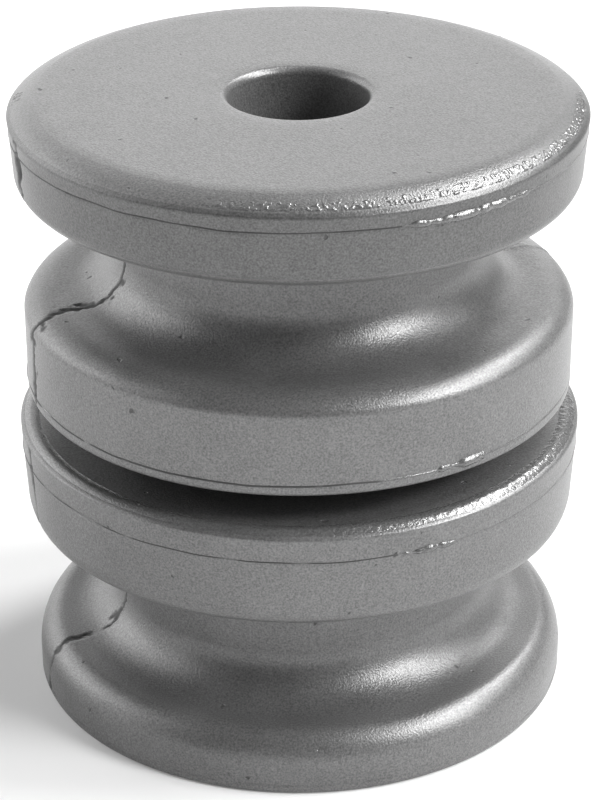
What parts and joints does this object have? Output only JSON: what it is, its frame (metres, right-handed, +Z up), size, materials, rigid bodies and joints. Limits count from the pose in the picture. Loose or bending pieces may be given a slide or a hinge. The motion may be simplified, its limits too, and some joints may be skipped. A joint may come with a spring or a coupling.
{
  "type": "fence insulator",
  "caption": "Stacked grooved porcelain bobbins on a common bolt bore, parted by a rubber spacer washer, that hold strained fence wire off a post.",
  "frame": {"origin": "centre of the bore in the plane of the seat under the lower bobbin", "axes": "+Z up along the bore, from the lower bobbin to the upper one; the object is round about Z, and -Y is the side it is usually seen from"},
  "size_m": [0.0452, 0.0452, 0.0501],
  "materials": {
    "upper_glaze": "satin grey glaze with a fine grain, on porcelain",
    "lower_glaze": "satin grey glaze with a fine grain, on porcelain",
    "rubber": "dull black rubber sheet"
  },
  "bodies": {
    "lower": {"lower_bobbin": "lower_glaze"},
    "washer": {"spacer_washer": "rubber"},
    "upper": {"upper_bobbin": "upper_glaze"}
  },
  "joints": [
    {"name": "upper_turn", "type": "hinge", "parent": "lower", "child": "washer", "pos_m": [0, 0, 0.0236], "axis": [0, 0, 1], "continuous": true},
    {"name": "upper_lift", "type": "slide", "parent": "washer", "child": "upper", "axis": [0, 0, 1], "range_m": [0, 0.04]}
  ]
}
